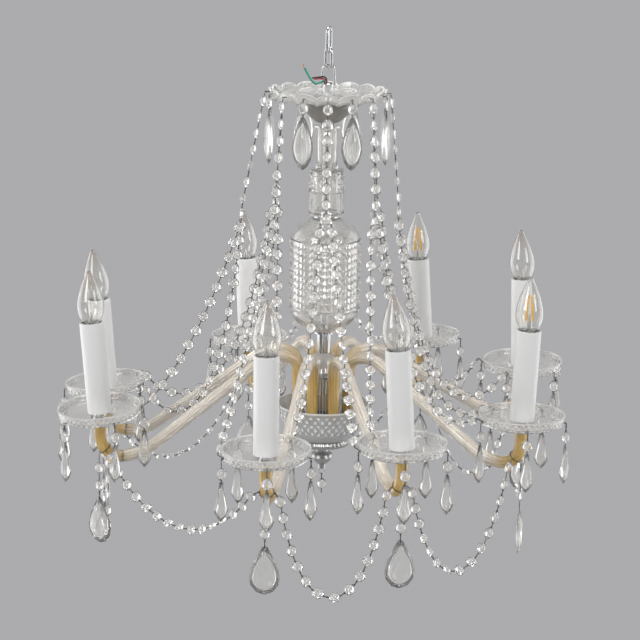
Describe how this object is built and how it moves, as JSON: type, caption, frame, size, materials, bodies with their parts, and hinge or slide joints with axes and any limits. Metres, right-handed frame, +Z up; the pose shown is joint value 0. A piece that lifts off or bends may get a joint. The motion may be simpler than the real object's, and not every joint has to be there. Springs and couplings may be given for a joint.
{
  "type": "crystal chandelier",
  "caption": "Crystal chandelier with glass arms, cut drip pans, white candle tubes, clear bulbs and swagged bead chains, hung from a short chain.",
  "frame": {"origin": "where the ceiling hook bears, at the inner top of the upper chain link", "axes": "+Z up along the column, -Y to the front, +X to the right seen from the front"},
  "size_m": [0.6867, 0.6845, 0.6878],
  "materials": {
    "crystal": "clear cut lead crystal",
    "clear_glass": "clear blown glass",
    "cut_glass": "clear glass with cut pattern",
    "pressed_glass": "pressed greyish glass",
    "arm_glass": "ribbed glass tube, warm",
    "gold_lining": "gold and cream lining",
    "bulb_glass": "clear lamp glass",
    "chrome": "bright chrome plate",
    "chain_steel": "plated steel wire",
    "base_metal": "worn nickel plate",
    "sleeve_white": "smooth white tube",
    "holder_plastic": "moulded white",
    "earth_green": "green insulation",
    "neutral_black": "black insulation",
    "live_red": "red insulation"
  },
  "bodies": {
    "top_link": {"upper_chain_link": "chain_steel"},
    "second_link": {"lower_chain_link": "chain_steel"},
    "bail": {"hanging_bail": "chain_steel"},
    "chandelier": {"top_coupler": "chrome", "earth_wire": "earth_green", "neutral_wire": "neutral_black", "live_wire": "live_red", "centre_rod": "chrome", "canopy_dish": "clear_glass", "canopy_bell": "clear_glass", "column_washers": "chrome", "stem_tube": "clear_glass", "cut_cup": "cut_glass", "vase": "cut_glass", "vase_foot": "clear_glass", "column_tubes": "chrome", "lower_knob": "cut_glass", "arm_plate": "chrome", "receiver_bowl": "pressed_glass", "base_plate": "base_metal", "finial": "base_metal", "arm_1": "arm_glass", "arm_2": "arm_glass", "arm_3": "arm_glass", "arm_4": "arm_glass", "arm_5": "arm_glass", "arm_6": "arm_glass", "arm_7": "arm_glass", "arm_8": "arm_glass", "arm_liners": "gold_lining", "bobeches": "cut_glass", "candle_sleeves": "sleeve_white", "lampholders": "holder_plastic", "bobeche_drops": "crystal", "bead_chains": "crystal"},
    "bulb_1": {"bulb_1": "bulb_glass"},
    "bulb_2": {"bulb_2": "bulb_glass"},
    "bulb_3": {"bulb_3": "bulb_glass"},
    "bulb_4": {"bulb_4": "bulb_glass"},
    "bulb_5": {"bulb_5": "bulb_glass"},
    "bulb_6": {"bulb_6": "bulb_glass"},
    "bulb_7": {"bulb_7": "bulb_glass"},
    "bulb_8": {"bulb_8": "bulb_glass"},
    "pear_1": {"pear_pendant_1": "crystal"},
    "pear_2": {"pear_pendant_2": "crystal"},
    "pear_3": {"pear_pendant_3": "crystal"},
    "pear_4": {"pear_pendant_4": "crystal"},
    "pear_5": {"pear_pendant_5": "crystal"},
    "pear_6": {"pear_pendant_6": "crystal"},
    "pear_7": {"pear_pendant_7": "crystal"},
    "pear_8": {"pear_pendant_8": "crystal"},
    "almond_1": {"canopy_pendant_1": "crystal"},
    "almond_2": {"canopy_pendant_2": "crystal"},
    "almond_3": {"canopy_pendant_3": "crystal"},
    "almond_4": {"canopy_pendant_4": "crystal"},
    "almond_5": {"canopy_pendant_5": "crystal"},
    "almond_6": {"canopy_pendant_6": "crystal"},
    "almond_7": {"canopy_pendant_7": "crystal"},
    "almond_8": {"canopy_pendant_8": "crystal"},
    "finial_drop": {"finial_bead": "crystal"}
  },
  "joints": [
    {"name": "second_link_swing", "type": "hinge", "parent": "top_link", "child": "second_link", "pos_m": [0, 0, -0.0233], "axis": [-0.7193, 0.6947, 0], "range_deg": [-18, 18]},
    {"name": "bail_swing", "type": "hinge", "parent": "second_link", "child": "bail", "pos_m": [0, 0, -0.0447], "axis": [1, 0, 0], "range_deg": [-20, 20]},
    {"name": "chandelier_swing", "type": "hinge", "parent": "bail", "child": "chandelier", "pos_m": [0, 0, -0.0725], "axis": [1, 0, 0], "range_deg": [-10, 10]},
    {"name": "bulb_1_screw", "type": "slide", "parent": "chandelier", "child": "bulb_1", "axis": [0.0175, 0, 0.9998], "range_m": [0, 0.018]},
    {"name": "bulb_2_screw", "type": "slide", "parent": "chandelier", "child": "bulb_2", "axis": [-0.108, 0, 0.9942], "range_m": [0, 0.018]},
    {"name": "bulb_3_screw", "type": "slide", "parent": "chandelier", "child": "bulb_3", "axis": [-0.0035, 0, 1], "range_m": [0, 0.018]},
    {"name": "bulb_4_screw", "type": "slide", "parent": "chandelier", "child": "bulb_4", "axis": [-0.075, 0, 0.9972], "range_m": [0, 0.018]},
    {"name": "bulb_5_screw", "type": "slide", "parent": "chandelier", "child": "bulb_5", "axis": [-0.0366, 0, 0.9993], "range_m": [0, 0.018]},
    {"name": "bulb_6_screw", "type": "slide", "parent": "chandelier", "child": "bulb_6", "axis": [-0.0454, 0, 0.999], "range_m": [0, 0.018]},
    {"name": "bulb_7_screw", "type": "slide", "parent": "chandelier", "child": "bulb_7", "axis": [-0.1167, 0, 0.9932], "range_m": [0, 0.018]},
    {"name": "bulb_8_screw", "type": "slide", "parent": "chandelier", "child": "bulb_8", "axis": [-0.0401, 0, 0.9992], "range_m": [0, 0.018]},
    {"name": "pear_1_swing", "type": "hinge", "parent": "chandelier", "child": "pear_1", "pos_m": [-0.06716, -0.29108, -0.53321], "axis": [-0.9792, 0.2028, 0], "range_deg": [-10, 25]},
    {"name": "pear_2_swing", "type": "hinge", "parent": "chandelier", "child": "pear_2", "pos_m": [0.09675, -0.28263, -0.52521], "axis": [-0.9489, -0.3157, 0], "range_deg": [-10, 25]},
    {"name": "pear_3_swing", "type": "hinge", "parent": "chandelier", "child": "pear_3", "pos_m": [0.25023, -0.16317, -0.52021], "axis": [-0.5671, -0.8236, 0], "range_deg": [-10, 25]},
    {"name": "pear_4_swing", "type": "hinge", "parent": "chandelier", "child": "pear_4", "pos_m": [0.27416, 0.11864, -0.52021], "axis": [0.3991, -0.9169, 0], "range_deg": [-10, 25]},
    {"name": "pear_5_swing", "type": "hinge", "parent": "chandelier", "child": "pear_5", "pos_m": [0.14119, 0.26326, -0.51821], "axis": [0.8748, -0.4846, 0], "range_deg": [-10, 25]},
    {"name": "pear_6_swing", "type": "hinge", "parent": "chandelier", "child": "pear_6", "pos_m": [-0.10802, 0.27852, -0.52921], "axis": [0.9335, 0.3587, 0], "range_deg": [-10, 25]},
    {"name": "pear_7_swing", "type": "hinge", "parent": "chandelier", "child": "pear_7", "pos_m": [-0.29355, 0.05542, -0.54221], "axis": [0.158, 0.9874, 0], "range_deg": [-10, 25]},
    {"name": "pear_8_swing", "type": "hinge", "parent": "chandelier", "child": "pear_8", "pos_m": [-0.28856, -0.07729, -0.54321], "axis": [-0.2414, 0.9704, 0], "range_deg": [-10, 25]},
    {"name": "almond_1_swing", "type": "hinge", "parent": "chandelier", "child": "almond_1", "pos_m": [0.03081, -0.07437, -0.0812], "axis": [-0.9239, -0.3827, 0], "range_deg": [-8, 25]},
    {"name": "almond_2_swing", "type": "hinge", "parent": "chandelier", "child": "almond_2", "pos_m": [0.07437, -0.03081, -0.0812], "axis": [-0.3827, -0.9239, 0], "range_deg": [-8, 25]},
    {"name": "almond_3_swing", "type": "hinge", "parent": "chandelier", "child": "almond_3", "pos_m": [0.07437, 0.03081, -0.0812], "axis": [0.3827, -0.9239, 0], "range_deg": [-8, 25]},
    {"name": "almond_4_swing", "type": "hinge", "parent": "chandelier", "child": "almond_4", "pos_m": [0.03081, 0.07437, -0.0812], "axis": [0.9239, -0.3827, 0], "range_deg": [-8, 25]},
    {"name": "almond_5_swing", "type": "hinge", "parent": "chandelier", "child": "almond_5", "pos_m": [-0.03081, 0.07437, -0.0812], "axis": [0.9239, 0.3827, 0], "range_deg": [-8, 25]},
    {"name": "almond_6_swing", "type": "hinge", "parent": "chandelier", "child": "almond_6", "pos_m": [-0.07437, 0.03081, -0.0812], "axis": [0.3827, 0.9239, 0], "range_deg": [-8, 25]},
    {"name": "almond_7_swing", "type": "hinge", "parent": "chandelier", "child": "almond_7", "pos_m": [-0.07437, -0.03081, -0.0812], "axis": [-0.3827, 0.9239, 0], "range_deg": [-8, 25]},
    {"name": "almond_8_swing", "type": "hinge", "parent": "chandelier", "child": "almond_8", "pos_m": [-0.03081, -0.07437, -0.0812], "axis": [-0.9239, 0.3827, 0], "range_deg": [-8, 25]},
    {"name": "finial_bead_swing", "type": "hinge", "parent": "chandelier", "child": "finial_drop", "pos_m": [0, 0, -0.5886], "axis": [1, 0, 0], "range_deg": [-25, 25]}
  ]
}
